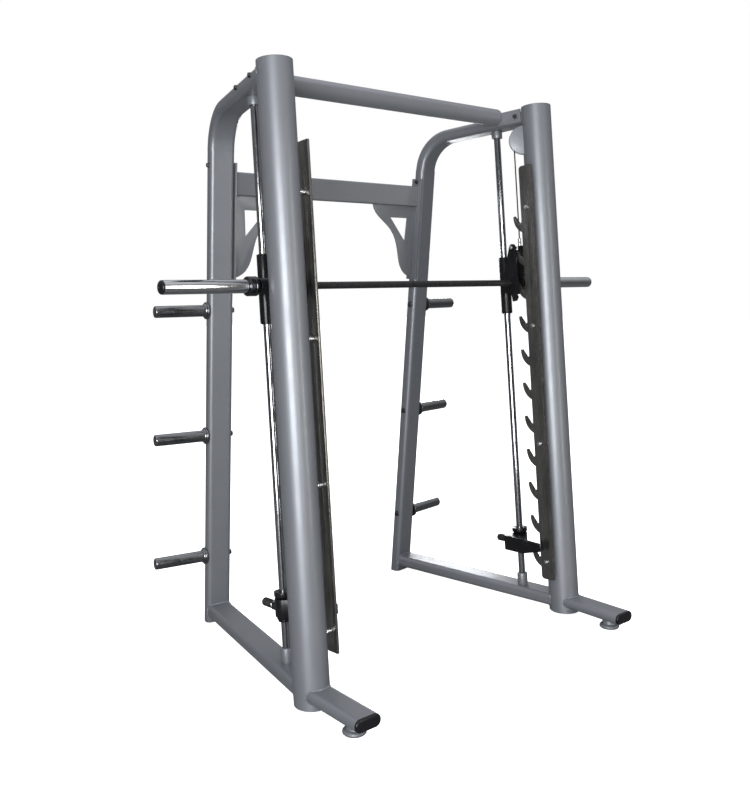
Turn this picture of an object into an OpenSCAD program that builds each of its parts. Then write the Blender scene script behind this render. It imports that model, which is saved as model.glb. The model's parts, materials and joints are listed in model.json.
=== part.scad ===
// Smith machine: two leaning uprights with splayed side frames, guide rods,
// hook racks, a counterbalanced bar on carriages and plate storage horns.
// Units are millimetres, Z is up and the front of the machine faces -Y.

/* [Overall] */
// centre distance from the middle plane to each upright at floor level
upright_x = 707; // [650:1:760]
// length of the uprights along their axis
upright_len = 2318; // [2100:1:2500]
// backward lean of uprights, racks and guide rods in degrees
lean = 4; // [0:0.5:8]
// inward turn of each side frame toward the rear in degrees
splay = 9; // [0:0.5:15]
// length of each side frame at floor level
side_len = 990; // [800:1:1200]
// moves the whole machine so that the origin is the middle of its footprint
shift_y = -345; // [-500:0.5:0]

/* [Tubes] */
// upright outer diameter
upright_d = 134; // [100:1:160]
// wall thickness of the uprights
upright_wall = 3.5; // [2:0.5:6]
// wide side of the flat tubes
tube_w = 110; // [80:1:140]
// narrow side of the flat tubes
tube_d = 55; // [40:1:80]
// corner radius of the flat tubes
tube_r = 20; // [5:1:27]
// wall thickness of the flat tubes
tube_wall = 3; // [2:0.5:5]
// height of the centre line of the base tubes
base_z = 56; // [40:1:80]
// forward lean of the rear posts in degrees
post_lean = 5.56; // [0:0.01:10]
// slope of the top arms in degrees
arm_rise = 4; // [0:0.5:15]
// outward turn of the bend and top arm about the rear post in degrees
arm_turn = 3.4; // [0:0.1:6]
// centre line radius of the bend between rear post and top arm
bend_r = 171; // [150:1:350]
// length along the rear post to the corner of its centre line
post_corner = 2237; // [2000:1:2400]
// distance along the top arm from its bend to the middle of the crossbeam flange
flange_at = 312; // [150:1:350]
// front end of the front foot tubes
stub_end = -315; // [-400:1:-200]
// width of the oval front foot tubes
stub_w = 108; // [90:1:130]
// height of the oval front foot tubes
stub_d = 46; // [36:1:60]
// height of the centre line of the front foot tubes
stub_z = 61; // [50:1:80]
// gap between the uprights and the floor
column_gap = 12; // [0:1:20]

/* [Guide rods and racks] */
// sideways position of the guide rods
rod_x = 669; // [600:1:700]
// distance of the guide rods behind the uprights
rod_y = 212.5; // [180:0.5:240]
// guide rod diameter
rod_d = 30; // [25:1:40]
// inner face of the rack plates
rack_x = 600; // [580:1:640]
// front edge of the rack plates, measured from the upright axis
rack_front = -36; // [-60:1:0]
// rear edge of the rack plates, where the hooks begin
rack_rear = 31; // [20:1:45]
// rack plate thickness
rack_t = 10; // [6:1:14]
// distance from one hook to the next
hook_pitch = 152; // [100:1:200]
// number of hooks on each rack
hook_count = 11; // [3:1:12]
// height of the top hook's tip along the rack
hook_top = 1822; // [1500:1:1950]

/* [Bar] */
// height of the bar along the lean
bar_z = 1521; // [400:1:1820]
// distance of the bar behind the uprights
bar_y = 102; // [90:1:130]
// bar grip diameter
bar_d = 28; // [25:1:32]
// sleeve diameter
sleeve_d = 50; // [48:1:52]
// half of the whole bar length
bar_half = 1155; // [1000:1:1250]
// distance of the catch pin in front of the bar when it is caught
catch_y = 44; // [30:1:60]
// height of the catch pin above the bar when it is caught
catch_z = 155; // [120:1:180]
// angle the bar is drawn turned away from the caught position in degrees
catch_open = 10.6; // [0:0.1:20]

/* [Balance] */
// radius of the counterweights
weight_r = 55; // [40:1:60]
// height of the counterweights
weight_h = 215; // [100:1:400]
// radius of the cable on the pulley
pulley_r = 36; // [30:1:45]
// cable diameter
cable_d = 6; // [3:0.5:8]
// height of the pulleys along the uprights
pulley_z = 2170; // [2000:1:2250]

/* [Plate storage] */
// horn diameter
horn_d = 50; // [28:1:52]
// length of each horn outside its collar
horn_len = 218; // [150:1:300]
// height of the lowest horn along the rear post
horn_z = 313; // [200:1:400]
// distance between horns
horn_pitch = 552; // [300:1:600]

/* [Hidden] */
fine = 64;
eps = 0.02;
up_r = upright_d / 2;
turn = 90 - post_lean - arm_rise;
post_len = post_corner - bend_r * tan(turn / 2);
arm_len = 500;
bar_end = bar_half - 18;
cable_foot = bar_z + 169;
stub_r = stub_d / 2 - 0.1;
stop_open = 6;
grip_start = 68;
pulley_ang = 138.5;
pulley_c = 72;
rack_w = rack_rear - rack_front;
rack_bolts_z = [250, 785, 1320, 1855];
paint = [0.46, 0.47, 0.49];
chrome = [0.82, 0.83, 0.85];
dark_chrome = [0.52, 0.51, 0.50];
black = [0.08, 0.08, 0.09];
steel = [0.6, 0.6, 0.62];

// ---------- shared frames ----------

// side -1 is the left half, +1 the right half
module half(side) {
    if (side < 0) {
        mirror([1, 0, 0]) children();
    } else {
        children();
    }
}

// frame of the leaning uprights, rods and racks
module leaning() {
    translate([0, shift_y, 0]) rotate([-lean, 0, 0]) children();
}

// frame of one side: x outward, y along the side toward the rear
module side_frame() {
    translate([upright_x, shift_y, 0]) rotate([0, 0, splay]) children();
}

// frame of one rear post: z along the post
module post_frame() {
    side_frame() translate([0, side_len, 0]) rotate([post_lean, 0, 0]) children();
}

// frame of the bend and arm: arc centre at the origin, arc in the xy plane
module bend_frame() {
    post_frame() rotate([0, 0, arm_turn]) {
        translate([0, -bend_r, post_len]) rotate([90, 0, 90]) children();
    }
}

// frame of the straight part of a top arm: z along the arm toward the upright
module arm_frame() {
    bend_frame() rotate([0, 0, turn]) translate([bend_r, 0, 0]) rotate([-90, 0, 0]) children();
}

// frame of a pulley: x away from the upright axis, y along the pulley axis
module pulley_frame() {
    leaning() translate([upright_x, 0, pulley_z]) rotate([0, 0, pulley_ang]) children();
}

// rounded rectangle, w by d
module flat_tube(w, d, r) {
    square([w - 2 * r, d], center = true);
    square([w, d - 2 * r], center = true);
    for (sx = [-1, 1]) {
        for (sy = [-1, 1]) {
            translate([sx * (w / 2 - r), sy * (d / 2 - r)]) circle(r = r, $fn = fine);
        }
    }
}

module tube_ring(w, d) {
    difference() {
        flat_tube(w, d, tube_r);
        flat_tube(w - 2 * tube_wall, d - 2 * tube_wall, tube_r - tube_wall);
    }
}

// everything inside the outer surface of one upright
module upright_solid(extra) {
    leaning() translate([upright_x, 0, -80]) cylinder(r = up_r + extra, h = 2600, $fn = fine);
}

// everything below the floor
module below_floor(level) {
    translate([-1500, -1500, level - 400]) cube([3000, 3000, 400]);
}

// ---------- fixed frame ----------

module column(side) {
    color(paint) half(side) difference() {
        leaning() translate([upright_x, 0, -20]) cylinder(r = up_r, h = upright_len + 20, $fn = fine);
        leaning() translate([upright_x, 0, -40]) {
            cylinder(r = up_r - upright_wall, h = upright_len + 80, $fn = fine);
        }
        below_floor(column_gap);
        pulley_frame() translate([40, -13.5, -66]) cube([40, 27, 132]);
    }
}

module column_cap(side) {
    color(paint) half(side) leaning() translate([upright_x, 0, upright_len]) {
        cylinder(r = up_r, h = 3, $fn = fine);
        translate([0, 0, -12]) cylinder(r = up_r - upright_wall - 0.05, h = 12.5, $fn = fine);
    }
}

module post_holes() {
    for (i = [0 : 2]) {
        post_frame() translate([-80, 0, horn_z + horn_pitch * i]) rotate([0, 90, 0]) {
            cylinder(r = 8.05, h = 160, $fn = 32);
        }
    }
    post_frame() translate([-80, 0, 2032]) rotate([0, 90, 0]) cylinder(r = 6.05, h = 160, $fn = 32);
}

module rear_post(side) {
    color(paint) half(side) difference() {
        post_frame() translate([0, 0, -20]) linear_extrude(post_len + 20) tube_ring(tube_w, tube_d);
        below_floor(0);
        post_holes();
    }
}

module arm_holes() {
    for (dz = [-81, 81]) {
        arm_frame() translate([10, -80, flange_at + dz]) rotate([-90, 0, 0]) {
            cylinder(r = 6.05, h = 160, $fn = 32);
        }
    }
}

module top_arm_outer() {
    bend_frame() rotate_extrude(angle = turn, $fn = 128) translate([bend_r, 0]) {
        flat_tube(tube_d, tube_w, tube_r);
    }
    arm_frame() linear_extrude(arm_len) flat_tube(tube_d, tube_w, tube_r);
}

module top_arm(side) {
    color(paint) half(side) {
        bend_frame() rotate_extrude(angle = turn, $fn = 128) translate([bend_r, 0]) {
            tube_ring(tube_d, tube_w);
        }
        difference() {
            arm_frame() translate([0, 0, 0.05]) linear_extrude(arm_len) tube_ring(tube_d, tube_w);
            upright_solid(eps);
            arm_holes();
        }
    }
}

module base_beam(side) {
    color(paint) half(side) difference() {
        side_frame() translate([0, side_len + 20, base_z]) rotate([90, 0, 0]) {
            linear_extrude(side_len + 20) tube_ring(tube_w, tube_d);
        }
        upright_solid(eps);
        post_frame() translate([-100, -tube_d / 2 - eps, -50]) cube([200, 200, 300]);
    }
}

// oval section of a front foot tube, made smaller all round by inset
module stub_section(inset) {
    flat_tube(stub_w - 2 * inset, stub_d - 2 * inset, stub_r - inset);
}

module front_stub(side) {
    color(paint) half(side) difference() {
        translate([upright_x, shift_y, stub_z]) rotate([90, 0, 0]) {
            linear_extrude(-stub_end) difference() {
                stub_section(0);
                stub_section(tube_wall);
            }
        }
        upright_solid(eps);
    }
}

module stub_cap(side) {
    color(black) half(side) translate([upright_x, shift_y + stub_end, stub_z]) rotate([90, 0, 0]) {
        linear_extrude(8) stub_section(0);
        translate([0, 0, 8]) linear_extrude(2) stub_section(1.5);
        translate([0, 0, 10]) linear_extrude(2) stub_section(5);
        translate([0, 0, -18]) linear_extrude(18.5) stub_section(tube_wall + 0.05);
    }
}

module front_foot(side) {
    top = stub_z - stub_d / 2 - 0.1;
    color(paint) half(side) translate([upright_x, shift_y - 245, 0]) {
        rotate_extrude($fn = fine) {
            polygon([[0, 0], [38, 0], [42, 4], [42, 10], [38, 15], [30, 19], [30, top], [0, top]]);
        }
    }
}

module rod_collars(side) {
    color(paint) half(side) difference() {
        leaning() translate([rod_x, rod_y, 0]) {
            translate([0, 0, 60]) cylinder(r = 23.5, h = 91, $fn = fine);
            translate([0, 0, 2214]) cylinder(r = 25, h = 60, $fn = fine);
        }
        below_floor(base_z + tube_d / 2 + eps);
        top_arm_outer();
        leaning() translate([rod_x, rod_y, 0]) cylinder(r = rod_d / 2 + 0.05, h = 2400, $fn = fine);
    }
}

// crossbeam at the top with its two flange plates
module top_flange() {
    arm_frame() translate([-20, tube_w / 2, flange_at - 108]) cube([60, 8, 216]);
}

module top_crossbeam() {
    color(paint) {
        difference() {
            translate([-640, shift_y + 330, 2281]) rotate([0, 90, 0]) {
                cylinder(r = 38.5, h = 1280, $fn = fine);
            }
            for (side = [-1, 1]) {
                half(side) arm_frame() translate([-200, tube_w / 2 + 7.5 - 400, 0]) cube([400, 400, 600]);
            }
        }
        for (side = [-1, 1]) {
            half(side) difference() {
                top_flange();
                arm_holes();
            }
        }
    }
}

// frame of the rear crossbeam: x across, z along the lean of the posts
module rear_frame() {
    translate([0, shift_y + 790, 1952]) rotate([5.49, 0, 0]) children();
}

module outside_flange() {
    post_frame() translate([-tube_w / 2 - 8, -300, 1000]) cube([400, 600, 1400]);
}

module rear_crossbeam() {
    color(paint) {
        difference() {
            rear_frame() translate([-560, 0, 0]) rotate([90, 0, 90]) {
                linear_extrude(1120) difference() {
                    flat_tube(50, 100, 8);
                    flat_tube(44, 94, 5);
                }
            }
            for (side = [-1, 1]) {
                half(side) outside_flange();
            }
        }
        for (side = [-1, 1]) {
            half(side) difference() {
                post_frame() translate([-tube_w / 2 - 8, -30, 1545]) cube([8, 60, 502]);
                post_holes();
            }
        }
    }
}

function bez(a, b, c, d, t) =
    a * pow(1 - t, 3) + 3 * b * t * pow(1 - t, 2) + 3 * c * t * t * (1 - t) + d * pow(t, 3);

gusset_edge = concat(
    [for (i = [0 : 8]) bez([246, -50], [260, -114], [340, -128], [384, -192], i / 8)],
    [for (i = [1 : 8]) bez([384, -192], [424, -254], [416, -324], [446, -362], i / 8)],
    [for (i = [1 : 5]) bez([446, -362], [460, -384], [486, -405], [540, -409], i / 5)]
);

module gusset(side) {
    color(paint) half(side) difference() {
        rear_frame() translate([0, -8, 0]) rotate([90, 0, 0]) translate([0, 0, -3]) linear_extrude(6) {
            difference() {
                polygon(concat(gusset_edge, [[560, -409], [560, -50.02]]));
                polygon([[360, -110], [467, -110], [459, -224]]);
            }
        }
        outside_flange();
    }
}

module hex_head(r, h) {
    cylinder(r = r, h = h, $fn = 6);
    cylinder(r = r * 1.15, h = h * 0.25, $fn = 32);
}

module frame_bolts() {
    color(steel) for (side = [-1, 1]) {
        half(side) {
            for (dz = [-81, 81]) {
                arm_frame() translate([10, -tube_w / 2, flange_at + dz]) rotate([-90, 0, 0]) {
                    translate([0, 0, -1]) cylinder(r = 6, h = tube_w + 12, $fn = 32);
                    mirror([0, 0, 1]) hex_head(9, 8);
                    translate([0, 0, tube_w + 8]) hex_head(9, 8);
                }
            }
            post_frame() translate([-tube_w / 2 - 8, 0, 2032]) rotate([0, 90, 0]) {
                translate([0, 0, -1]) cylinder(r = 6, h = tube_w + 12, $fn = 32);
                mirror([0, 0, 1]) hex_head(9, 8);
                translate([0, 0, tube_w + 8]) hex_head(9, 8);
            }
        }
    }
}

module guide_rod(side) {
    color(chrome) half(side) difference() {
        leaning() translate([rod_x, rod_y, 40]) cylinder(r = rod_d / 2, h = 2232, $fn = fine);
        below_floor(base_z + tube_d / 2 + 0.5);
        top_arm_outer();
    }
}

// one rack hook with its tip at y = 0 and the edge of the rack at x = 0
module hook2d() {
    difference() {
        intersection() {
            translate([-30, -5]) circle(r = 77.5, $fn = fine);
            translate([0, -90]) square([60, 90]);
        }
        translate([9, -26]) circle(r = 9, $fn = 32);
        polygon([[-1, 1], [38, 1], [37.5, -3], [17.4, -29], [9, -26], [-1, -26]]);
        translate([43, -4.4]) difference() {
            square([8, 8]);
            circle(r = 4.4, $fn = 32);
        }
    }
}

module hooks(side) {
    color(dark_chrome) half(side) leaning() translate([rack_x, rack_rear, 0]) rotate([90, 0, 90]) {
        linear_extrude(rack_t) for (i = [0 : hook_count - 1]) {
            translate([0, hook_top - hook_pitch * i]) hook2d();
        }
    }
}

module rack(side) {
    color(dark_chrome) half(side) leaning() translate([rack_x, rack_rear, 0]) rotate([90, 0, 90]) {
        linear_extrude(rack_t) difference() {
            union() {
                translate([-rack_w, 186]) square([rack_w, 1842]);
                translate([-rack_w, 171]) square([rack_w - 15, 1872]);
                translate([-15, 186]) circle(r = 15, $fn = 32);
                translate([-15, 2028]) circle(r = 15, $fn = 32);
            }
            for (z = rack_bolts_z) {
                translate([-rack_rear, z]) circle(r = 5.05, $fn = 32);
            }
        }
    }
}

module rack_bolts(side) {
    color(chrome) half(side) difference() {
        for (z = rack_bolts_z) {
            leaning() translate([rack_x, 0, z]) rotate([0, 90, 0]) {
                translate([0, 0, rack_t]) cylinder(r = 11, h = 44, $fn = 32);
                translate([0, 0, -1]) cylinder(r = 5, h = rack_t + 2, $fn = 32);
                translate([0, 0, -5]) cylinder(r = 9, h = 5, $fn = 32);
                translate([0, 0, -7]) cylinder(r = 7, h = 2.5, $fn = 32);
            }
        }
        upright_solid(eps);
    }
}

module horns(side) {
    color(chrome) half(side) {
        for (i = [0 : 2]) {
            post_frame() translate([tube_w / 2, 0, horn_z + horn_pitch * i]) rotate([0, 90, 0]) {
                cylinder(r = 37.5, h = 10, $fn = fine);
                cylinder(r = 31, h = 16, $fn = fine);
                translate([0, 0, 10]) cylinder(r = horn_d / 2, h = horn_len, $fn = fine);
                translate([0, 0, 10 + horn_len]) {
                    cylinder(r1 = horn_d / 2, r2 = horn_d / 2 - 3, h = 3, $fn = fine);
                }
                translate([0, 0, -tube_w - 2]) cylinder(r = 8, h = tube_w + 4, $fn = 32);
                translate([0, 0, -tube_w]) mirror([0, 0, 1]) hex_head(12, 9);
            }
        }
    }
}

// ---------- balance gear ----------

module pulley_bracket(side) {
    color(paint) half(side) pulley_frame() {
        for (y = [-13.5, 9.5]) {
            difference() {
                translate([66, y, 0]) rotate([-90, 0, 0]) cylinder(r = 64, h = 4, $fn = fine);
                translate([-20, y - 1, -80]) cube([72, 6, 160]);
            }
        }
        translate([pulley_c, -13, 0]) rotate([-90, 0, 0]) cylinder(r = 6, h = 26, $fn = 32);
    }
}

module pulley(side) {
    color(black) half(side) pulley_frame() translate([pulley_c, 0, 0]) rotate([90, 0, 0]) {
        rotate_extrude($fn = fine) difference() {
            translate([6.05, -8]) square([34, 16]);
            translate([pulley_r, 0]) circle(r = cable_d / 2 + 0.1, $fn = 32);
            translate([pulley_r, -cable_d / 2 - 0.1]) square([10, cable_d + 0.2]);
        }
    }
}

module bar_cable(side) {
    color(black) half(side) pulley_frame() {
        translate([pulley_c + pulley_r, 0, cable_foot - pulley_z]) {
            cylinder(r = cable_d / 2, h = pulley_z - cable_foot, $fn = 24);
        }
    }
}

module weight_cable(side) {
    color(black) half(side) pulley_frame() {
        translate([pulley_c, 0, 0]) rotate([90, 0, 0]) rotate_extrude(angle = 180, $fn = fine) {
            translate([pulley_r, 0]) circle(r = cable_d / 2, $fn = 24);
        }
        translate([pulley_c - pulley_r, 0, 1080 + weight_h - pulley_z]) {
            cylinder(r = cable_d / 2, h = pulley_z - 1080 - weight_h, $fn = 24);
        }
    }
}

module counterweight(side) {
    color(black) half(side) leaning() translate([upright_x, 0, 1060]) {
        cylinder(r = weight_r, h = weight_h, $fn = fine);
        rotate([0, 0, pulley_ang]) translate([pulley_c - pulley_r, 0, weight_h - 5]) {
            cylinder(r = 8, h = 25, $fn = 32);
        }
    }
}

// ---------- moving carriages ----------

module carriage(side) {
    color(black) half(side) leaning() difference() {
        union() {
            translate([rod_x, rod_y, bar_z - 134]) cylinder(r = 25, h = 261, $fn = fine);
            translate([636, bar_y, bar_z]) rotate([0, 90, 0]) cylinder(r = 30, h = 132, $fn = fine);
            translate([655, bar_y, bar_z - 50]) cube([28, rod_y - bar_y - 18, 100]);
            // plate that carries the cable
            translate([632, 0, bar_z]) rotate([90, 0, 90]) linear_extrude(8) {
                polygon([[60, 168], [82, 168], [128, 62], [200, 50],
                    [206, -40], [120, -46], [72, -20], [60, 100]]);
                translate([bar_y, 0]) circle(r = 30, $fn = fine);
            }
            translate([620, 62, bar_z + 118]) cube([13, 18, 50.9]);
            translate([632, rod_y - 40, bar_z - 40]) cube([30, 30, 90]);
        }
        translate([rod_x, rod_y, bar_z - 200]) cylinder(r = 20, h = 400, $fn = fine);
        translate([600, bar_y, bar_z]) rotate([0, 90, 0]) cylinder(r = bar_d / 2 + 0.05, h = 300, $fn = fine);
    }
}

module rod_bearings(side) {
    color(steel) half(side) leaning() for (z = [-134, 57]) {
        translate([rod_x, rod_y, bar_z + z]) difference() {
            cylinder(r = 19.98, h = 70, $fn = fine);
            translate([0, 0, -1]) cylinder(r = rod_d / 2 + 0.05, h = 72, $fn = fine);
        }
    }
}

module bar() {
    color(black) leaning() translate([-bar_end, bar_y, bar_z]) rotate([0, 90, 0]) {
        cylinder(r = bar_d / 2, h = 2 * bar_end, $fn = fine);
    }
}

module sleeve(side) {
    color(chrome) half(side) leaning() translate([776, bar_y, bar_z]) rotate([0, 90, 0]) difference() {
        union() {
            cylinder(r = 36, h = 40, $fn = fine);
            cylinder(r = sleeve_d / 2, h = bar_half - 776 - 12, $fn = fine);
        }
        translate([0, 0, -1]) cylinder(r = bar_d / 2 + 0.03, h = 400, $fn = fine);
    }
}

module sleeve_cap(side) {
    color(black) half(side) leaning() translate([bar_half - 12, bar_y, bar_z]) rotate([0, 90, 0]) {
        rotate_extrude($fn = fine) {
            polygon([[0, -5], [13.9, -5], [13.9, 0], [25, 0], [25, 7], [21, 12], [0, 12]]);
        }
    }
}

// catch arm clamped on the bar, drawn swung clear of the rack hooks
module latch(side) {
    color(black) half(side) leaning() translate([0, bar_y, bar_z]) difference() {
        translate([588, 0, 0]) rotate([90, 0, 90]) rotate([0, 0, -catch_open]) {
            linear_extrude(9) {
                polygon([[-61, 152], [-29, 165], [16, 82], [46, 30], [40, -20], [14, -48],
                    [14, -84], [-6, -86], [-20, -72], [-14, -50], [-36, -36], [-40, 0]]);
                translate([-catch_y, catch_z]) circle(r = 17, $fn = fine);
            }
            translate([-catch_y, catch_z, -6]) cylinder(r = 12, h = 6.5, $fn = 32);
            translate([-catch_y, catch_z, 0]) cylinder(r = 6, h = 29, $fn = 32);
            translate([-2, -66, -4]) cylinder(r = 6, h = 5, $fn = 32);
            translate([0, 0, -12]) cylinder(r = 24, h = 22, $fn = fine);
        }
        translate([500, 0, 0]) rotate([0, 90, 0]) cylinder(r = bar_d / 2 + 0.03, h = 200, $fn = fine);
    }
}

// ---------- safety stops ----------

// sliding collar with the cup that takes the carriage
module stop_collar(side) {
    color(black) half(side) leaning() translate([rod_x, rod_y, 0]) difference() {
        union() {
            translate([0, 0, 255]) cylinder(r = 19, h = 111, $fn = fine);
            translate([0, 0, 352]) cylinder(r = 35, h = 16, $fn = fine);
            translate([0, 0, 343]) cylinder(r1 = 28, r2 = 35, h = 9.02, $fn = fine);
            translate([0, 0, 255]) cylinder(r = 24, h = 7, $fn = fine);
        }
        translate([0, 0, 200]) cylinder(r = rod_d / 2 + 0.05, h = 200, $fn = fine);
    }
}

// lever that turns on the collar, drawn swung clear of the rack
module stop(side) {
    color(black) half(side) leaning() translate([rod_x, rod_y, 0]) rotate([0, 0, -stop_open]) difference() {
        union() {
            translate([0, 0, 263]) cylinder(r = 28, h = 79, $fn = fine);
            translate([0, 0, 275]) linear_extrude(67) {
                circle(r = 34, $fn = fine);
                polygon([[-16, 30], [-86, 14], [-88, 0], [-84, -150], [-80, -218], [-76, -222],
                    [-71.5, -218], [-71.5, -130], [31, -14]]);
                rotate([0, 0, stop_open]) translate([-13, 0]) square([26, grip_start]);
            }
        }
        translate([0, 0, 200]) cylinder(r = 19.05, h = 200, $fn = fine);
        // slopes of the nose, above and below
        translate([-150, -20, 342]) rotate([1.7, 0, 0]) translate([0, -220, 0]) cube([220, 220, 60]);
        translate([-150, -105, 275]) rotate([-13, 0, 0]) translate([0, -200, -60]) cube([220, 200, 60]);
        // low neck of the grip behind the hub
        translate([-40, 36, 252]) cube([80, 60, 36]);
        translate([-40, 36, 316]) cube([80, 60, 36]);
    }
}

module stop_handle(side) {
    color(black) half(side) leaning() translate([rod_x, rod_y + grip_start, 302]) rotate([-90, 0, 0]) {
        translate([0, 0, eps]) cylinder(r = 14, h = 4, $fn = fine);
        translate([0, 0, 4]) cylinder(r = 16.5, h = 61, $fn = fine);
        translate([0, 0, 65]) cylinder(r1 = 16.5, r2 = 13, h = 5, $fn = fine);
    }
}

column(-1);  // left_column
column(1);  // right_column
column_cap(-1);  // left_column_cap
column_cap(1);  // right_column_cap
rear_post(-1);  // left_rear_post
rear_post(1);  // right_rear_post
top_arm(-1);  // left_top_arm
top_arm(1);  // right_top_arm
base_beam(-1);  // left_base_beam
base_beam(1);  // right_base_beam
front_stub(-1);  // left_front_stub
front_stub(1);  // right_front_stub
stub_cap(-1);  // left_stub_cap
stub_cap(1);  // right_stub_cap
front_foot(-1);  // left_front_foot
front_foot(1);  // right_front_foot
rod_collars(-1);  // left_rod_collars
rod_collars(1);  // right_rod_collars
top_crossbeam();
rear_crossbeam();
gusset(-1);  // left_gusset
gusset(1);  // right_gusset
frame_bolts();
guide_rod(-1);  // left_guide_rod
guide_rod(1);  // right_guide_rod
rack(-1);  // left_rack
rack(1);  // right_rack
hooks(-1);  // left_hooks
hooks(1);  // right_hooks
rack_bolts(-1);  // left_rack_bolts
rack_bolts(1);  // right_rack_bolts
pulley_bracket(-1);  // left_pulley_bracket
pulley_bracket(1);  // right_pulley_bracket
pulley(-1);  // left_pulley
pulley(1);  // right_pulley
bar_cable(-1);  // left_bar_cable
bar_cable(1);  // right_bar_cable
weight_cable(-1);  // left_weight_cable
weight_cable(1);  // right_weight_cable
counterweight(-1);  // left_counterweight
counterweight(1);  // right_counterweight
carriage(-1);  // left_carriage
carriage(1);  // right_carriage
rod_bearings(-1);  // left_rod_bearings
rod_bearings(1);  // right_rod_bearings
bar();
sleeve(-1);  // left_sleeve
sleeve(1);  // right_sleeve
sleeve_cap(-1);  // left_sleeve_cap
sleeve_cap(1);  // right_sleeve_cap
latch(-1);  // left_latch
latch(1);  // right_latch
stop_collar(-1);  // left_stop_collar
stop_collar(1);  // right_stop_collar
stop(-1);  // left_stop
stop(1);  // right_stop
stop_handle(-1);  // left_stop_handle
stop_handle(1);  // right_stop_handle
horns(-1);  // left_horns
horns(1);  // right_horns
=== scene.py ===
"""Looks of a smith machine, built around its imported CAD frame. Units are metres, Z is up, front is -Y."""
import json
import math

import bmesh
import bpy
from mathutils import Matrix, Vector


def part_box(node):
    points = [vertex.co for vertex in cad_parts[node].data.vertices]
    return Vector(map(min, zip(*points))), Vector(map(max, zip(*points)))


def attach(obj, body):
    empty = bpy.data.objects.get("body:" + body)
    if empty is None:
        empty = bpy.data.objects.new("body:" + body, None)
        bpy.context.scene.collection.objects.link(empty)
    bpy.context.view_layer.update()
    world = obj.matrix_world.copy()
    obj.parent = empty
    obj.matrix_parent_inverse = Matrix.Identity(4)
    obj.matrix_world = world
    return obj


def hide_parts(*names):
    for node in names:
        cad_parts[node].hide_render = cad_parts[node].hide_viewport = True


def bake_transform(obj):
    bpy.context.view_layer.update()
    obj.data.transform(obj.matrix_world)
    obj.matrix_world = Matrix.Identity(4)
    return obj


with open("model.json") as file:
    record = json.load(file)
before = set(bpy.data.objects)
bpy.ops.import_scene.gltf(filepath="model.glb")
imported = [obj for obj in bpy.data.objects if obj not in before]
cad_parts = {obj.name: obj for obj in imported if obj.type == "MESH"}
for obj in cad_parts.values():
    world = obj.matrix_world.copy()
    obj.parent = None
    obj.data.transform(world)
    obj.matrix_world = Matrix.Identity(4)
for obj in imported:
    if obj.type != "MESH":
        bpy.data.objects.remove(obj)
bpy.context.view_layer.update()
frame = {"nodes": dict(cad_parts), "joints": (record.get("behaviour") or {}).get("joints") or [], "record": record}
NODES = frame["nodes"]
SIDES = {"left": -1, "right": 1}


# ---------- frames of the machine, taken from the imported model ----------

def joint(name):
    return next(j for j in frame["joints"] if j["name"] == name)


def mount(name):
    return next(m for m in frame["record"]["mounts"] if m["name"] == name)


def basis(x_axis, y_axis, z_axis, origin):
    """Matrix whose columns are the three axes and the origin."""
    made = Matrix.Identity(4)
    for column, axis in enumerate((x_axis, y_axis, z_axis, origin)):
        for row in range(3):
            made[row][column] = axis[row]
    return made


def local_box(node, matrix):
    """Lowest and highest corner of a CAD node in another frame."""
    inverse = matrix.inverted()
    points = [inverse @ v.co for v in NODES[node].data.vertices]
    low = Vector(min(p[i] for p in points) for i in range(3))
    high = Vector(max(p[i] for p in points) for i in range(3))
    return low, high


def middle(box):
    return (box[0] + box[1]) / 2


X = Vector((1, 0, 0))
LEAN_UP = Vector(joint("bar_lift")["axis"]).normalized()
LEAN = math.atan2(LEAN_UP.y, LEAN_UP.z)
column_low, column_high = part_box("right_column")
COLUMN_R = (column_high.x - column_low.x) / 2
COLUMN_X = column_high.x - COLUMN_R
FLOOR_Y = column_low.y + COLUMN_R / math.cos(LEAN) - column_low.z * math.tan(LEAN)
# frame of the uprights, rods and racks: x across, z along the lean
LEANING = basis(X, LEAN_UP.cross(X), LEAN_UP, Vector((0, FLOOR_Y, 0)))

ROD_BOX = local_box("right_guide_rod", LEANING)
ROD_R = (ROD_BOX[1].x - ROD_BOX[0].x) / 2
ROD_X, ROD_Y = middle(ROD_BOX).x, middle(ROD_BOX).y
BAR_BOX = local_box("bar", LEANING)
BAR_R = (BAR_BOX[1].y - BAR_BOX[0].y) / 2
BAR_Y, BAR_Z = middle(BAR_BOX).y, middle(BAR_BOX).z

OUTWARD = Vector(mount("right_low_horn")["axis"]).normalized()
REARWARD = Vector((-OUTWARD.y, OUTWARD.x, 0))
UP = Vector((0, 0, 1))
# frame of the right side: x outward, y rearward along the side
SIDE = basis(OUTWARD, REARWARD, UP, Vector((COLUMN_X, FLOOR_Y, 0)))

TUBE_W, TUBE_D, TUBE_R = 0.110, 0.055, 0.020
STUB_W, STUB_D, STUB_R = 0.108, 0.046, 0.0229
STUB_CAP = 0.012
# catch pin from the bar's axis, toward the front and up, and how far the catch is drawn open
CATCH_PIN = Vector((-0.044, 0.155))
LATCH_OPEN = math.radians(10.6)
POST_LEAN = math.radians(5.56)
ARM_RISE = math.radians(4)
ARM_TURN = math.radians(3.4)
SIDE_LEN = 0.990
BEND_R = 0.171
POST_CORNER = 2.237
BEND_TURN = math.pi / 2 - POST_LEAN - ARM_RISE
POST_LEN = POST_CORNER - BEND_R * math.tan(BEND_TURN / 2)


def turn_x(angle):
    return Matrix.Rotation(angle, 4, "X")


def turn_y(angle):
    return Matrix.Rotation(angle, 4, "Y")


def turn_z(angle):
    return Matrix.Rotation(angle, 4, "Z")


def shift(x, y, z):
    return Matrix.Translation((x, y, z))


# frame of the right rear post: z along the post
POST = SIDE @ shift(0, SIDE_LEN, 0) @ turn_x(POST_LEAN)
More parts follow.
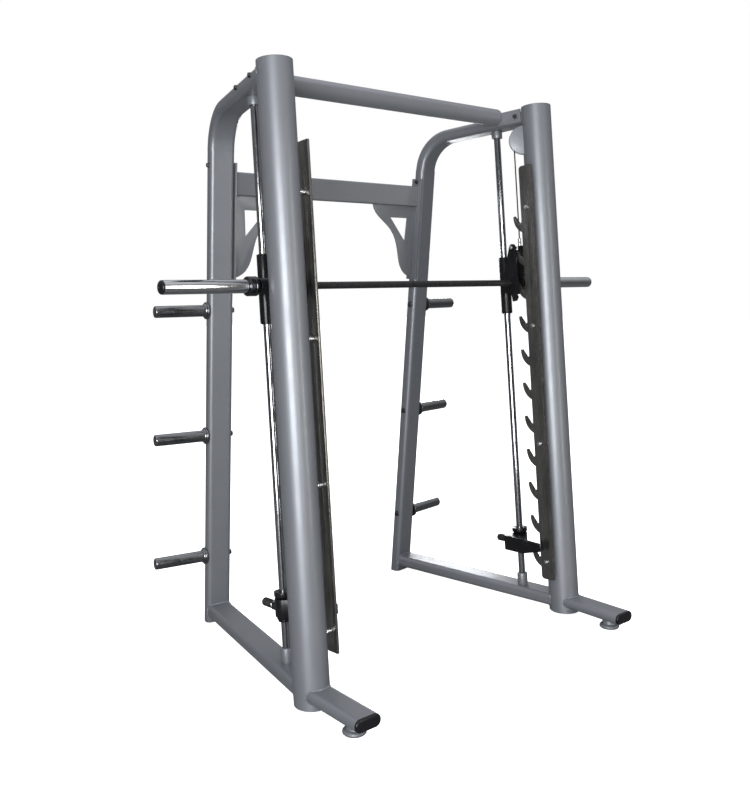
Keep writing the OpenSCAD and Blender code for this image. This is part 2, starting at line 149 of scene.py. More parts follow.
# frame of the right bend and of the straight arm: arm z runs toward the upright
BEND = POST @ turn_z(ARM_TURN) @ shift(0, -BEND_R, POST_LEN) @ turn_z(math.pi / 2) @ turn_x(math.pi / 2)
ARM = BEND @ turn_z(BEND_TURN) @ shift(BEND_R, 0, 0) @ turn_x(-math.pi / 2)


def half(side):
    """Mirror that turns the right half into the left one."""
    return Matrix.Diagonal((side, 1, 1, 1))


# ---------- camera ----------

def add_camera():
    """The photograph's viewing angle, on a 750 by 800 image."""
    yaw, pitch, roll = math.radians(38.92), math.radians(-3.49), math.radians(-0.86)
    ahead = Vector((math.sin(yaw) * math.cos(pitch), math.cos(yaw) * math.cos(pitch), math.sin(pitch)))
    level = Vector((math.cos(yaw), -math.sin(yaw), 0))
    upward = level.cross(ahead)
    right = level * math.cos(roll) + upward * math.sin(roll)
    upward = right.cross(ahead)
    data = bpy.data.cameras.new("camera")
    data.sensor_width = 36
    data.lens = 39.71
    data.shift_x = 0.0039
    data.shift_y = -0.0736
    data.clip_end = 100
    camera = bpy.data.objects.new("camera", data)
    bpy.context.scene.collection.objects.link(camera)
    camera.matrix_world = basis(right, upward, -ahead, Vector((-2.464, FLOOR_Y - 2.546, 1.500)))
    bpy.context.scene.camera = camera


# ---------- materials ----------

def new_material(name):
    """A new material with its node tree, its shader and its object coordinates."""
    material = bpy.data.materials.new(name)
    material.use_nodes = True
    tree = material.node_tree
    shader = tree.nodes["Principled BSDF"]
    place = tree.nodes.new("ShaderNodeTexCoord")
    return material, tree, shader, place.outputs["Object"]


def scaled(tree, vector, size):
    """The coordinates stretched by a different factor along each axis."""
    node = tree.nodes.new("ShaderNodeMapping")
    node.inputs["Scale"].default_value = size
    tree.links.new(vector, node.inputs["Vector"])
    return node.outputs["Vector"]


def noise(tree, vector, scale, detail=3.0, roughness=0.5):
    node = tree.nodes.new("ShaderNodeTexNoise")
    node.inputs["Scale"].default_value = scale
    node.inputs["Detail"].default_value = detail
    node.inputs["Roughness"].default_value = roughness
    tree.links.new(vector, node.inputs["Vector"])
    return node.outputs["Fac"]


def spread(tree, value, low, high, start=0.3, stop=0.7):
    """The stretch of a value from start to stop, turned into one from low to high."""
    node = tree.nodes.new("ShaderNodeMapRange")
    node.inputs["From Min"].default_value = start
    node.inputs["From Max"].default_value = stop
    node.inputs["To Min"].default_value = low
    node.inputs["To Max"].default_value = high
    tree.links.new(value, node.inputs["Value"])
    return node.outputs["Result"]


def blend_colours(tree, value, first, second):
    """A mix of two colours, each a fixed one or another node's output."""
    node = tree.nodes.new("ShaderNodeMix")
    node.data_type = "RGBA"
    for letter, colour in (("A", first), ("B", second)):
        if isinstance(colour, tuple):
            node.inputs[letter].default_value = (*colour, 1)
        else:
            tree.links.new(colour, node.inputs[letter])
    tree.links.new(value, node.inputs["Factor"])
    return node.outputs["Result"]


def add_bump(tree, shader, height, strength, distance):
    node = tree.nodes.new("ShaderNodeBump")
    node.inputs["Strength"].default_value = strength
    node.inputs["Distance"].default_value = distance
    tree.links.new(height, node.inputs["Height"])
    tree.links.new(node.outputs["Normal"], shader.inputs["Normal"])


def paint_material():
    """Grey metallic powder coat under clear lacquer, with a fine orange peel."""
    material, tree, shader, place = new_material("frame_paint")
    cloud = noise(tree, place, 2.2, 4)
    flake = noise(tree, place, 1400, 1)
    colour = blend_colours(tree, spread(tree, cloud, 0, 1), (0.158, 0.167, 0.183), (0.178, 0.187, 0.203))
    sparkle = blend_colours(tree, spread(tree, flake, 0, 0.15, 0.55, 0.8), colour, (0.24, 0.25, 0.27))
    tree.links.new(sparkle, shader.inputs["Base Color"])
    shader.inputs["Metallic"].default_value = 0.50
    tree.links.new(spread(tree, noise(tree, place, 14, 3), 0.40, 0.46), shader.inputs["Roughness"])
    shader.inputs["Coat Weight"].default_value = 0.16
    shader.inputs["Coat Roughness"].default_value = 0.16
    add_bump(tree, shader, noise(tree, place, 240, 2), 0.03, 0.0003)
    return material


def chrome_material(name, tint, rough_low, rough_high):
    """Polished plating with light handling marks."""
    material, tree, shader, place = new_material(name)
    marks = noise(tree, place, 35, 6, 0.65)
    shader.inputs["Metallic"].default_value = 1.0
    dull = tuple(c * 0.86 for c in tint)
    tree.links.new(blend_colours(tree, spread(tree, marks, 0, 1), dull, tint), shader.inputs["Base Color"])
    tree.links.new(spread(tree, marks, rough_low, rough_high), shader.inputs["Roughness"])
    add_bump(tree, shader, noise(tree, place, 700, 2), 0.02, 0.0001)
    return material


def rack_material():
    """Dark plated plate: painted smudgy reflections in its colour, and long rolling marks."""
    material, tree, shader, place = new_material("rack_steel")
    painted_reflections = noise(tree, scaled(tree, place, (6, 14, 5)), 1.0, 6, 0.62)
    streak = noise(tree, scaled(tree, place, (60, 160, 3)), 1.0, 4, 0.6)
    # painted reflections: the colour's light and dark patches stand in for what the plate mirrors
    colour = blend_colours(tree, spread(tree, painted_reflections, 0, 1), (0.15, 0.145, 0.138), (0.28, 0.272, 0.255))
    tree.links.new(colour, shader.inputs["Base Color"])
    shader.inputs["Metallic"].default_value = 0.95
    tree.links.new(spread(tree, streak, 0.20, 0.36), shader.inputs["Roughness"])
    add_bump(tree, shader, streak, 0.10, 0.0005)
    return material


def black_material(name, shade, rough_low, rough_high, grain, strength, coat=0.0):
    """Black coat or moulding with a fine grain."""
    material, tree, shader, place = new_material(name)
    cloud = noise(tree, place, 18, 5)
    pale = tuple(c * 1.7 for c in shade)
    tree.links.new(blend_colours(tree, spread(tree, cloud, 0, 1), shade, pale), shader.inputs["Base Color"])
    tree.links.new(spread(tree, cloud, rough_low, rough_high), shader.inputs["Roughness"])
    shader.inputs["Specular IOR Level"].default_value = 0.22
    shader.inputs["Coat Weight"].default_value = coat
    shader.inputs["Coat Roughness"].default_value = 0.10
    add_bump(tree, shader, noise(tree, place, grain, 3), strength, 0.0004)
    return material


def bar_material():
    """Black zinc bar with a fine diamond knurl."""
    material, tree, shader, place = new_material("black_bar")
    marks = noise(tree, place, 60, 4)
    colour = blend_colours(tree, spread(tree, marks, 0, 1), (0.008, 0.008, 0.009), (0.016, 0.016, 0.017))
    tree.links.new(colour, shader.inputs["Base Color"])
    shader.inputs["Specular IOR Level"].default_value = 0.25
    tree.links.new(spread(tree, marks, 0.26, 0.36), shader.inputs["Roughness"])
    fineness = 140
    heights = []
    for slope in (1, -1):
        wave = tree.nodes.new("ShaderNodeTexWave")
        wave.bands_direction = "DIAGONAL"
        wave.inputs["Scale"].default_value = 1.0
        stretch = (fineness, fineness * slope, fineness * slope)
        tree.links.new(scaled(tree, place, stretch), wave.inputs["Vector"])
        heights.append(wave.outputs["Fac"])
    knurl = tree.nodes.new("ShaderNodeMath")
    knurl.operation = "MAXIMUM"
    tree.links.new(heights[0], knurl.inputs[0])
    tree.links.new(heights[1], knurl.inputs[1])
    add_bump(tree, shader, knurl.outputs["Value"], 0.10, 0.0002)
    return material


def steel_material(name, shade):
    """Plated fastener steel."""
    material, tree, shader, place = new_material(name)
    marks = noise(tree, place, 220, 4)
    pale = tuple(min(1, c * 1.35) for c in shade)
    tree.links.new(blend_colours(tree, spread(tree, marks, 0, 1), shade, pale), shader.inputs["Base Color"])
    shader.inputs["Metallic"].default_value = 1.0
    tree.links.new(spread(tree, marks, 0.22, 0.40), shader.inputs["Roughness"])
    add_bump(tree, shader, marks, 0.12, 0.0002)
    return material


def weld_material():
    """Painted weld seam: the frame's coat over small ripples, with painted shade in their hollows."""
    material, tree, shader, place = new_material("weld_paint")
    ripple = noise(tree, place, 320, 3)
    # painted shade: the colour follows the ripple height, darker in its hollows
    colour = blend_colours(tree, ripple, (0.12, 0.127, 0.14), (0.20, 0.21, 0.23))
    tree.links.new(colour, shader.inputs["Base Color"])
    shader.inputs["Metallic"].default_value = 0.5
    shader.inputs["Roughness"].default_value = 0.36
    add_bump(tree, shader, ripple, 0.5, 0.0008)
    return material


PAINT = paint_material()
WELD = weld_material()
CHROME = chrome_material("chrome", (0.56, 0.57, 0.58), 0.05, 0.12)
ROD_CHROME = chrome_material("rod_chrome", (0.40, 0.41, 0.43), 0.06, 0.12)
HORN_STEEL = chrome_material("horn_steel", (0.24, 0.245, 0.25), 0.12, 0.24)
DARK_CHROME = chrome_material("dark_chrome", (0.10, 0.10, 0.105), 0.10, 0.2)
RACK = rack_material()
SATIN_BLACK = black_material("black_paint", (0.004, 0.004, 0.0045), 0.22, 0.32, 320, 0.05, 0.12)
PLASTIC = black_material("black_plastic", (0.004, 0.004, 0.005), 0.16, 0.26, 600, 0.04, 0.15)
RUBBER = black_material("grip_rubber", (0.009, 0.009, 0.009), 0.45, 0.6, 420, 0.20)
CABLE = black_material("cable_jacket", (0.007, 0.007, 0.007), 0.30, 0.42, 500, 0.08)
IRON = black_material("weight_iron", (0.014, 0.014, 0.015), 0.45, 0.62, 180, 0.35)
BAR_BLACK = bar_material()
BOLT = steel_material("bolt_steel", (0.10, 0.10, 0.105))
BRIGHT_BOLT = steel_material("bolt_chrome", (0.62, 0.62, 0.63))
BEARING = black_material("bearing_plastic", (0.42, 0.42, 0.40), 0.35, 0.5, 300, 0.1)


# ---------- mesh helpers ----------

# edges that bend more than these are shaded sharp, or rounded in the copies of CAD nodes
SHARP_EDGE = math.radians(40)
ROUNDED_EDGE = math.radians(32)
# faces that bend less than this are joined, and points nearer than this are merged
FLAT_FACES = math.radians(0.4)
MERGE = 1e-5


def make_piece(name, bm, material, body, bevel=0.0):
    """Turns a bmesh in world coordinates into a shaded piece, which may ride on a body."""
    bmesh.ops.recalc_face_normals(bm, faces=bm.faces)
    mesh = bpy.data.meshes.new(name)
    if bevel:
        round_edges(bm, bevel)
    bm.to_mesh(mesh)
    bm.free()
    mesh.shade_smooth()
    mesh.set_sharp_from_angle(angle=SHARP_EDGE)
    mesh.materials.append(material)
    made = bpy.data.objects.new(name, mesh)
    bpy.context.scene.collection.objects.link(made)
    if body:
        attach(made, body)
    return made


def round_edges(bm, width):
    """Rounds every hard edge of a closed mesh."""
    hard = [e for e in bm.edges if e.is_manifold and e.calc_face_angle(0) > ROUNDED_EDGE]
    bmesh.ops.bevel(
        bm, geom=hard, offset=width, offset_type="OFFSET", segments=2, profile=0.6,
        affect="EDGES", clamp_overlap=True,
    )


def finish_node(node, material, body, bevel):
    """A copy of a CAD node with its hard edges rounded, which stands for that node."""
    bm = bmesh.new()
    bm.from_mesh(NODES[node].data)
    bmesh.ops.remove_doubles(bm, verts=bm.verts, dist=MERGE)
    bmesh.ops.dissolve_limit(bm, angle_limit=FLAT_FACES, verts=bm.verts, edges=bm.edges)
    made = make_piece("shaped_" + node, bm, material, body, bevel)
    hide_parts(node)
    return made


def coat_node(node, material):
    """Gives a CAD node its finish."""
    mesh = NODES[node].data
    mesh.materials.clear()
    mesh.materials.append(material)


def circle(count):
    """Cosine and sine of evenly spaced angles round a full turn."""
    angles = [2 * math.pi * i / count for i in range(count)]
    return [(math.cos(angle), math.sin(angle)) for angle in angles]


def ring_path(matrix, radius, height, count):
    """Points on a circle round the z of the matrix."""
    return [matrix @ Vector((radius * c, radius * s, height)) for c, s in circle(count)]


def fan(bm, tip, ring):
    """Triangles between one point and a ring."""
    for here, there in zip(ring, ring[1:] + ring[:1]):
        bm.faces.new((tip, here, there))


def skin(bm, below, above):
    """Faces between two rings with the same number of points."""
    for i in range(len(below)):
        j = (i + 1) % len(below)
        bm.faces.new((below[i], below[j], above[j], above[i]))


def lathe(name, profile, matrix, material, body, segments=64):
    """A turned piece: profile holds (radius, height) points along the z of the matrix."""
    bm = bmesh.new()
    rings = []
    for radius, height in profile:
        on_axis = radius < 1e-6
        points = [matrix @ Vector((0, 0, height))] if on_axis else ring_path(matrix, radius, height, segments)
        rings.append([bm.verts.new(point) for point in points])
    for below, above in zip(rings, rings[1:]):
        if len(below) == 1:
            fan(bm, below[0], above)
        elif len(above) == 1:
            fan(bm, above[0], below)
        else:
            skin(bm, below, above)
    return make_piece(name, bm, material, body)


def arc(centre, radius, start, stop, steps):
    """Points on a part of a circle, from one angle to another in degrees."""
    points = []
    for i in range(steps + 1):
        angle = math.radians(start + (stop - start) * i / steps)
        points.append((centre[0] + radius * math.cos(angle), centre[1] + radius * math.sin(angle)))
    return points


def sweep(name, path, radius, material, body, sides, closed=False, ripple=0.0, pitch=1.0):
    """A round cord or bead along a path of points, with ripples for a weld."""
    bm = bmesh.new()
    count = len(path)
    rings, run = [], 0.0
    side_way = None
    for i, point in enumerate(path):
        before = path[i - 1] if i or closed else point
        after = path[(i + 1) % count] if i < count - 1 or closed else point
        along = (after - before).normalized()
        if side_way is None:
            side_way = along.orthogonal().normalized()
        side_way = (side_way - along * side_way.dot(along)).normalized()
        other = along.cross(side_way)
        size = radius * (1 + ripple * math.sin(2 * math.pi * run / pitch))
        rings.append([bm.verts.new(point + (side_way * c + other * s) * size) for c, s in circle(sides)])
        run += (after - point).length
    for below, above in zip(rings, rings[1:]):
        skin(bm, below, above)
    if closed:
        last, first = rings[-1], rings[0]
        turn_by = min(range(sides), key=lambda t: (first[t].co - last[0].co).length)
        skin(bm, last, first[turn_by:] + first[:turn_by])
    else:
        bm.faces.new(rings[0])
        bm.faces.new(list(reversed(rings[-1])))
    return make_piece(name, bm, material, body)


def section_loop(width, depth, radius):
    """Points round a rounded rectangle, close together on the straights too."""
    steps, straight = 10, 8
    corners = []
    for sx, sy, start in ((1, 1, 0), (-1, 1, 90), (-1, -1, 180), (1, -1, 270)):
        centre = (sx * (width / 2 - radius), sy * (depth / 2 - radius))
        corners.append(arc(centre, radius, start, start + 90, steps))
    loop = []
    for i, corner in enumerate(corners):
        loop += corner
        end, begin = Vector(corner[-1]), Vector(corners[(i + 1) % 4][0])
        loop += [tuple(end.lerp(begin, k / straight)) for k in range(1, straight)]
    return loop


def saddle(matrix, loop):
    """Where lines along the z of the matrix, from the points of a loop, meet the right upright."""
    upright = LEANING @ shift(COLUMN_X, 0, 0)
    back = upright.inverted()
    points = []
    for x, y in loop:
        start = back @ (matrix @ Vector((x, y, 0)))
        way = (back.to_3x3() @ (matrix.to_3x3() @ Vector((0, 0, 1)))).normalized()
        a = way.x ** 2 + way.y ** 2
        b = 2 * (start.x * way.x + start.y * way.y)
        c = start.x ** 2 + start.y ** 2 - COLUMN_R ** 2
        room = b * b - 4 * a * c
        if room <= 0:
            continue
        points.append(upright @ (start + way * ((-b - math.sqrt(room)) / (2 * a))))
    return points


def finer(path, step):
    """The same closed path with points about one step apart, or less."""
    made = []
    for here, there in zip(path, path[1:] + path[:1]):
        parts = max(1, round((there - here).length / step))
        made += [here.lerp(there, k / parts) for k in range(parts)]
    return made


# ---------- light and floor ----------

def add_light(name, where, target, size, power, tint=(1, 1, 1), mirrored=True):
    """A rectangular lamp that points at a target, seen in reflections or not."""
    data = bpy.data.lights.new(name, "AREA")
    data.shape = "RECTANGLE"
    data.size, data.size_y = size
    data.energy = power
    data.color = tint
    lamp = bpy.data.objects.new(name, data)
    bpy.context.scene.collection.objects.link(lamp)
    lamp.location = where
    lamp.visible_glossy = mirrored
    lamp.rotation_euler = (Vector(target) - Vector(where)).to_track_quat("-Z", "Y").to_euler()


def add_world():
    """White to the camera, and a soft grey sky that lights the machine and is mirrored in it."""
    scene = bpy.context.scene
    scene.view_settings.view_transform = "Standard"
    world = bpy.data.worlds.new("studio")
    scene.world = world
    world.use_nodes = True
    tree = world.node_tree
    tree.nodes.clear()
    out = tree.nodes.new("ShaderNodeOutputWorld")
    mix = tree.nodes.new("ShaderNodeMixShader")
    seen = tree.nodes.new("ShaderNodeBackground")
    seen.inputs["Color"].default_value = (1, 1, 1, 1)
    lit = tree.nodes.new("ShaderNodeBackground")
    lit.inputs["Strength"].default_value = 1.5
    path = tree.nodes.new("ShaderNodeLightPath")
    place = tree.nodes.new("ShaderNodeTexCoord")
    split = tree.nodes.new("ShaderNodeSeparateXYZ")
    ramp = tree.nodes.new("ShaderNodeValToRGB")
    raise_z = tree.nodes.new("ShaderNodeMapRange")
    raise_z.inputs["From Min"].default_value = -1
    raise_z.inputs["From Max"].default_value = 1
    tree.links.new(place.outputs["Generated"], split.inputs["Vector"])
    tree.links.new(split.outputs["Z"], raise_z.inputs["Value"])
    tree.links.new(raise_z.outputs["Result"], ramp.inputs["Fac"])
    stops = ramp.color_ramp.elements
    stops[0].position = 0.0
    stops[0].color = (0.20, 0.20, 0.21, 1)
    stops[1].position = 1.0
    stops[1].color = (0.75, 0.76, 0.80, 1)
    for position, shade in ((0.47, 0.10), (0.56, 0.11), (0.72, 0.24)):
        stop = stops.new(position)
        stop.color = (shade, shade * 1.01, shade * 1.04, 1)
    tree.links.new(ramp.outputs["Color"], lit.inputs["Color"])
    tree.links.new(path.outputs["Is Camera Ray"], mix.inputs["Fac"])
    tree.links.new(lit.outputs["Background"], mix.inputs[1])
    tree.links.new(seen.outputs["Background"], mix.inputs[2])
    tree.links.new(mix.outputs["Shader"], out.inputs["Surface"])


def add_lights():
    """Large key on the left, two strips mirrored in the tubes, and fills above and behind."""
    add_light("key", (-4.5, -3.7, 1.3), (-0.3, 0, 1.0), (2.8, 3.4), 430, (0.97, 0.985, 1.0))
    add_light("front_strip", (-1.7, -5.2, 1.5), (-0.2, 0, 1.1), (0.34, 3.4), 40, (1.0, 0.965, 0.90))
    add_light("right_strip", (1.5, -5.0, 1.5), (0, 0, 1.1), (0.40, 3.2), 50, (1.0, 0.965, 0.90))
    add_light("top", (0, -0.8, 5.2), (0, 0, 0), (3.5, 2.5), 80, mirrored=False)
    add_light("back", (2.4, 4.6, 2.6), (0, 0, 1.2), (1.2, 3.0), 40, (0.96, 0.98, 1.0), mirrored=False)
    add_light("window", (3.72, 3.5, 1.55), (0.5, 0.2, 0.1), (0.8, 0.75), 26, (0.97, 0.99, 1.0))


def add_floor():
    """Pale floor that looks evenly white and sends less light back up than it shows."""
    half_width, below_feet = 30, 0.0005
    bm = bmesh.new()
    bmesh.ops.create_grid(bm, x_segments=8, y_segments=8, size=half_width)
    bmesh.ops.translate(bm, verts=bm.verts, vec=(0, 0, -below_feet))
    floor_material, tree, shader, place = new_material("floor")
    path = tree.nodes.new("ShaderNodeLightPath")
    pale = blend_colours(tree, noise(tree, place, 3, 3), (0.80, 0.80, 0.80), (0.84, 0.84, 0.84))
    bounce = blend_colours(tree, path.outputs["Is Glossy Ray"], (0.45, 0.45, 0.45), (0.14, 0.14, 0.14))
    colour = blend_colours(tree, path.outputs["Is Camera Ray"], bounce, pale)
    tree.links.new(colour, shader.inputs["Base Color"])
    shader.inputs["Roughness"].default_value = 0.8
    shader.inputs["Specular IOR Level"].default_value = 0.1
    shader.inputs["Emission Color"].default_value = (1, 1, 1, 1)
    glow = tree.nodes.new("ShaderNodeMath")
    glow.operation = "MULTIPLY"
    glow.inputs[1].default_value = 0.86
    tree.links.new(path.outputs["Is Camera Ray"], glow.inputs[0])
    tree.links.new(glow.outputs["Value"], shader.inputs["Emission Strength"])
    floor = make_piece("floor", bm, floor_material, None)


# ---------- the machine ----------

def coat_cad():
    """Finishes for the CAD nodes that stay as they are."""
    for side in SIDES:
        for part in ("column", "rear_post", "top_arm", "base_beam", "front_stub"):
            coat_node(f"{side}_{part}", PAINT)
        coat_node(f"{side}_guide_rod", ROD_CHROME)
        coat_node(f"{side}_counterweight", IRON)
        coat_node(f"{side}_weight_cable", CABLE)
        coat_node(f"{side}_rod_bearings", BEARING)
    coat_node("bar", BAR_BLACK)


def round_cad():
    """Copies of the machined and plate parts with softened edges."""
    for side in SIDES:
        for part in ("column_cap", "rod_collars", "gusset", "pulley_bracket", "front_foot"):
            finish_node(f"{side}_{part}", PAINT, "frame", 0.0012)
        finish_node(f"{side}_rack", RACK, "frame", 0.0010)
        finish_node(f"{side}_hooks", RACK, "frame", 0.0008)
        finish_node(f"{side}_rack_bolts", BRIGHT_BOLT, "frame", 0.0012)
        finish_node(f"{side}_carriage", SATIN_BLACK, "carriages", 0.0015)
        finish_node(f"{side}_latch", SATIN_BLACK, "bar_assembly", 0.0012)
        finish_node(f"{side}_pulley", PLASTIC, f"{side}_pulley_wheel", 0.0006)
        finish_node(f"{side}_stop_collar", SATIN_BLACK, f"{side}_stop_slider", 0.0015)
        finish_node(f"{side}_stop", SATIN_BLACK, f"{side}_stop_lever", 0.0030)
    finish_node("frame_bolts", BOLT, "frame", 0.0008)
    for beam in ("top_crossbeam", "rear_crossbeam"):
        finish_node(beam, PAINT, "frame", 0.0015)


def dome_profile(inner_r, dome_r, face, end):
    """Profile of a domed plug with a small recess in the middle."""
    recess_r, rim = 0.006, 0.003
    profile = [(0, face - 0.004), (inner_r, face - 0.004), (inner_r, face + 0.0002)]
    profile += [(dome_r, face + 0.0002), (dome_r, face + rim)]
    for i in range(1, 9):
        angle = math.radians(90 * i / 9)
        across = recess_r + (dome_r - recess_r) * math.cos(angle)
        profile.append((across, face + rim + (end - face - rim) * math.sin(angle)))
    return profile + [(recess_r, end), (0.005, end - 0.0012), (0, end - 0.0012)]


def add_sleeves():
    """Plate sleeves with a grooved collar and a domed end cap."""
    box = local_box("right_sleeve", LEANING)
    cap_box = local_box("right_sleeve_cap", LEANING)
    start, stop, end = box[0].x, box[1].x, cap_box[1].x
    collar_r = (box[1].z - box[0].z) / 2
    sleeve_r = (cap_box[1].z - cap_box[0].z) / 2
    bore, groove_r = BAR_R + 0.0004, collar_r - 0.0015
    seat, tube_start = start + 0.0395, start + 0.0396
    collar = [(bore, start), (collar_r - 0.003, start)]
    collar += arc((collar_r - 0.003, start + 0.003), 0.003, -90, 0, 4)
    collar += [(collar_r, start + 0.014), (groove_r, start + 0.0155)]
    collar += [(groove_r, start + 0.019), (collar_r, start + 0.0205)]
    collar += arc((collar_r - 0.004, start + 0.036), 0.004, 0, 90, 4)
    collar += [(sleeve_r + 0.001, start + 0.040), (sleeve_r + 0.001, seat), (bore, seat), (bore, start)]
    tube = [(bore, tube_start), (sleeve_r, tube_start), (sleeve_r, stop - 0.001)]
    tube += [(sleeve_r - 0.001, stop), (bore, stop), (bore, tube_start)]
    cap = dome_profile(BAR_R - 0.001, sleeve_r - 0.0005, stop, end)
    for side, sign in SIDES.items():
        place = half(sign) @ LEANING @ shift(0, BAR_Y, BAR_Z) @ turn_y(math.pi / 2)
        lathe(f"{side}_sleeve_collar", collar, place, DARK_CHROME, "bar_assembly")
        tube_piece = lathe(f"{side}_sleeve_tube", tube, place, CHROME, "bar_assembly")
        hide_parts(f"{side}_sleeve")
        cap_piece = lathe(f"{side}_sleeve_end", cap, place, PLASTIC, "bar_assembly")
        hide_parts(f"{side}_sleeve_cap")


def add_stub_caps():
    """Glossy end plugs of the front foot tubes, with a rounded face."""
    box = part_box("right_stub_cap")
    front, height = box[0].y, middle(box).z
    profile = [(0.0032, -0.018), (0.0032, -0.0002), (0, -0.0002), (0, 0.0045)]
    for i in range(1, 7):
        angle = math.radians(15 * i)
        profile.append((0.0075 * (1 - math.cos(angle)), 0.0045 + 0.0060 * math.sin(angle)))
    profile += [(0.013, 0.0112), (0.019, 0.0118)]
    for side, sign in SIDES.items():
        place = half(sign) @ shift(COLUMN_X, front + STUB_CAP, height) @ turn_x(math.pi / 2)
        bm = bmesh.new()
        rings = []
        for inset, depth in profile:
            loop = section_loop(STUB_W - 2 * inset, STUB_D - 2 * inset, STUB_R - inset)
            rings.append([bm.verts.new(place @ Vector((x, y, depth))) for x, y in loop])
        for below, above in zip(rings, rings[1:]):
            skin(bm, below, above)
        bm.faces.new(rings[0])
        bm.faces.new(list(reversed(rings[-1])))
        bmesh.ops.remove_doubles(bm, verts=bm.verts, dist=1e-6)
        cap = make_piece(f"{side}_tube_plug", bm, PLASTIC, "frame")
        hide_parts(f"{side}_stub_cap")


def add_horns():
    """Storage pegs with a stepped flange and a rounded end, and their bolt heads."""
    radius, tip = 0.025, 0.228
    face = TUBE_W / 2
    inverse = POST.inverted()
    for side, sign in SIDES.items():
        for name in ("low", "middle", "high"):
            height = (inverse @ Vector(mount(f"right_{name}_horn")["pos_m"])).z
            place = half(sign) @ POST @ shift(face, 0, height) @ turn_y(math.pi / 2)
            peg = [(0, 0.0002), (0.0365, 0.0002)]
            peg += arc((0.0345, 0.0025), 0.0025, -60, 0, 3)
            peg += arc((0.0345, 0.0075), 0.0025, 0, 90, 3)
            peg += [(0.031, 0.010), (0.0305, 0.0150), (0.0295, 0.016)]
            peg += [(radius + 0.003, 0.016), (radius, 0.019)]
            peg += arc((radius - 0.006, tip - 0.003), 0.006, 0, 80, 6)
            peg += [(0.008, tip + 0.0030), (0, tip + 0.0031)]
            lathe(f"{side}_{name}_peg", peg, place, HORN_STEEL, "frame", 72)
    for side in SIDES:
        keep = finish_node(f"{side}_horns", HORN_STEEL, "frame", 0.0010)
        trim_outer(keep, side, face)


def trim_outer(piece, side, face):
    """Keeps only the bolts of the horns node, inside the outer face of the rear post."""
    place = (half(SIDES[side]) @ POST).inverted()
    bm = bmesh.new()
    bm.from_mesh(piece.data)
    gone = [v for v in bm.verts if (place @ v.co).x > -face + 0.004]
    bmesh.ops.delete(bm, geom=gone, context="VERTS")
    bmesh.ops.holes_fill(bm, edges=[e for e in bm.edges if e.is_boundary], sides=0)
    bm.to_mesh(piece.data)
    bm.free()
    piece.data.materials.clear()
    piece.data.materials.append(BOLT)


def add_stop_grips():
    """Ribbed grips on the safety stops with a bright washer and end disc."""
    box = local_box("right_stop_handle", LEANING)
    start, height = box[0].y, middle(box).z
    grip_r, groove_r = 0.0165, 0.0155
    first_rib, rib_pitch, ribs = 0.009, 0.0042, 13
    for side, sign in SIDES.items():
        place = half(sign) @ LEANING @ shift(ROD_X, start, height) @ turn_x(-math.pi / 2)
        grip = [(0, 0.0042), (0.014, 0.0042), (grip_r, 0.0065)]
        for i in range(ribs):
            at = first_rib + i * rib_pitch
            grip += [(grip_r, at), (groove_r, at + 0.0008), (groove_r, at + 0.0016), (grip_r, at + 0.0024)]
        grip += [(grip_r, 0.0645), (0.0145, 0.0683), (0, 0.0683)]
        made = lathe(f"{side}_grip", grip, place, RUBBER, f"{side}_stop_lever", 48)
        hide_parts(f"{side}_stop_handle")
        washer = [(0, 0.0001), (0.0135, 0.0001)] + arc((0.0135, 0.0020), 0.0019, -90, 90, 6) + [(0, 0.0039)]
        lathe(f"{side}_grip_washer", washer, place, BRIGHT_BOLT, f"{side}_stop_lever", 40)
        disc = [(0, 0.0681), (0.0118, 0.0681), (0.0125, 0.0688), (0.0115, 0.0698), (0, 0.0698)]
        lathe(f"{side}_grip_end", disc, place, BRIGHT_BOLT, f"{side}_stop_lever", 40)


def post_seam(beam_z):
    """Where the outline of the base beam meets the front face of the right rear post."""
    face = POST @ shift(0, -TUBE_D / 2, 0)
    back = face.inverted()
    way = back.to_3x3() @ SIDE.to_3x3() @ Vector((0, 1, 0))
    points = []
    for x, y in section_loop(TUBE_W, TUBE_D, TUBE_R):
        start = back @ (SIDE @ Vector((x, SIDE_LEN - 0.2, beam_z + y)))
        points.append(face @ (start - way * (start.y / way.y)))
    return points


def add_welds():
    """Painted weld seams where tubes and rod collars meet."""
    step, bead, ring_bead = 0.0012, 0.0032, 0.0018
    beam_z = middle(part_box("right_base_beam")).z
    stub_z = middle(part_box("right_front_stub")).z
    beam = SIDE @ shift(0, SIDE_LEN / 2, beam_z) @ turn_x(math.pi / 2)
    stub = shift(COLUMN_X, FLOOR_Y - 0.3, stub_z) @ turn_x(-math.pi / 2)
    loops = {
        "arm": saddle(ARM, section_loop(TUBE_D, TUBE_W, TUBE_R)),
        "base": saddle(beam, section_loop(TUBE_W, TUBE_D, TUBE_R)),
        "stub": saddle(stub, section_loop(STUB_W, STUB_D, STUB_R)),
        "post": post_seam(beam_z),
    }
    for side, sign in SIDES.items():
        for name, loop in loops.items():
            path = finer([half(sign) @ p for p in loop], step)
            sweep(f"{side}_{name}_weld", path, bead, WELD, "frame", 8, True, 0.22, 0.0052)
        lean = half(sign) @ LEANING @ shift(ROD_X, ROD_Y, 0)
        ring = finer(ring_path(lean, ROD_R + 0.0025, 0.1515, 60), step)
        sweep(f"{side}_collar_weld", ring, ring_bead, WELD, "frame", 8, True, 0.2, 0.005)


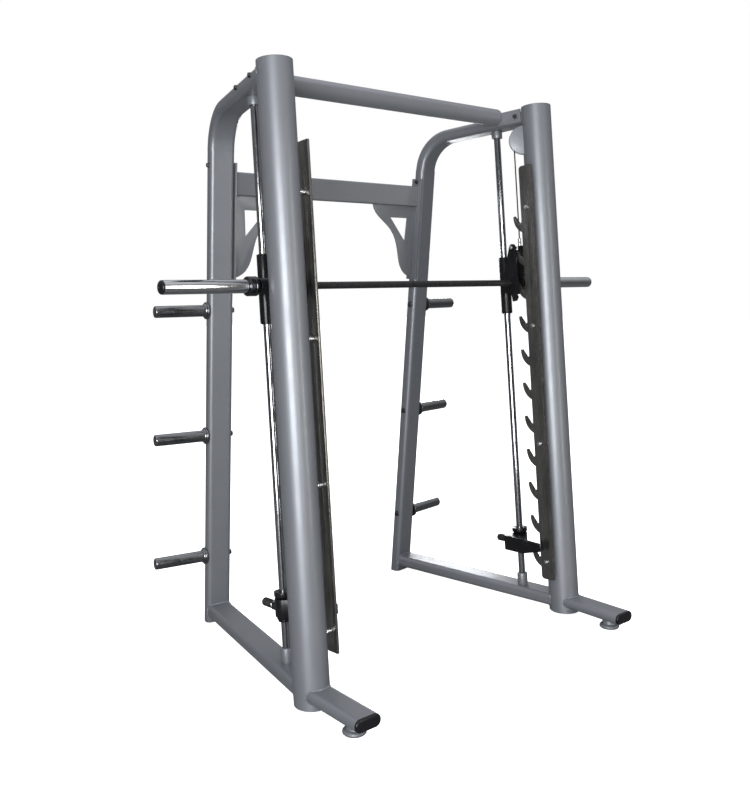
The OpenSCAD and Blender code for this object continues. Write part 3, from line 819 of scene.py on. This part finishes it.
def add_wipers():
    """Wiper rings at both ends of each carriage."""
    bearing = local_box("right_rod_bearings", LEANING)
    low, high = bearing[0].z, bearing[1].z
    bore, outer = 0.0158, 0.0215
    for side, sign in SIDES.items():
        rod = half(sign) @ LEANING @ shift(ROD_X, ROD_Y, 0)
        for name, at, way in (("top", high, 1), ("bottom", low, -1)):
            rim = [(bore, at - 0.001 * way), (outer, at - 0.001 * way), (outer, at + 0.0012 * way)]
            rim += [(0.0190, at + 0.0030 * way), (bore, at + 0.0030 * way), (bore, at - 0.001 * way)]
            lathe(f"{side}_{name}_wiper", rim, rod, PLASTIC, "carriages", 48)


def add_bar_cables():
    """Jacketed cables from the pulleys to the carriages, with a crimped end."""
    for side, sign in SIDES.items():
        node = f"{side}_bar_cable"
        box = local_box(node, LEANING)
        centre = middle(box)
        radius = (box[1].x - box[0].x) / 2
        bottom, top = box[0].z, box[1].z
        steps = 60
        path = []
        for i in range(steps + 1):
            height = bottom + (top - bottom) * i / steps
            path.append(LEANING @ Vector((centre.x, centre.y, height)))
        cable = sweep(f"{side}_lift_cable", path, radius, CABLE, None, 16)
        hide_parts(node)
        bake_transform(cable)
        crimp = LEANING @ shift(centre.x, centre.y, bottom - 0.004)
        ferrule = [(0, 0), (0.0062, 0)] + arc((0.0062, 0.004), 0.0012, -90, 0, 3)
        ferrule += [(0.0074, 0.016), (0.0066, 0.018), (0.0074, 0.020), (0.0066, 0.022), (0.0074, 0.024)]
        ferrule += [(0.0074, 0.034), (0.0060, 0.038), (radius, 0.038), (0, 0.038)]
        lathe(f"{side}_cable_crimp", ferrule, crimp, BRIGHT_BOLT, "carriages", 32)


def add_latch_pins():
    """Bright pin ends on the catch arms."""
    box = local_box("right_latch", LEANING)
    for side, sign in SIDES.items():
        arm = half(sign) @ LEANING @ shift(box[0].x, BAR_Y, BAR_Z) @ turn_z(math.pi / 2) @ turn_x(math.pi / 2)
        arm = arm @ turn_z(-LATCH_OPEN)
        pin = arm @ shift(CATCH_PIN.x, CATCH_PIN.y, 0.0055) @ turn_x(math.pi)
        head = [(0, -0.0005), (0.0090, -0.0005), (0.0090, 0.0010)] + arc((0.0080, 0.0012), 0.0010, 0, 90, 3)
        head += [(0.0030, 0.0028), (0, 0.0030)]
        lathe(f"{side}_pin_end", head, pin, BRIGHT_BOLT, "bar_assembly", 40)


add_camera()
add_world()
add_lights()
add_floor()
coat_cad()
round_cad()
add_sleeves()
add_stub_caps()
add_horns()
add_stop_grips()
add_welds()
add_wipers()
add_bar_cables()
add_latch_pins()

bpy.context.view_layer.update()
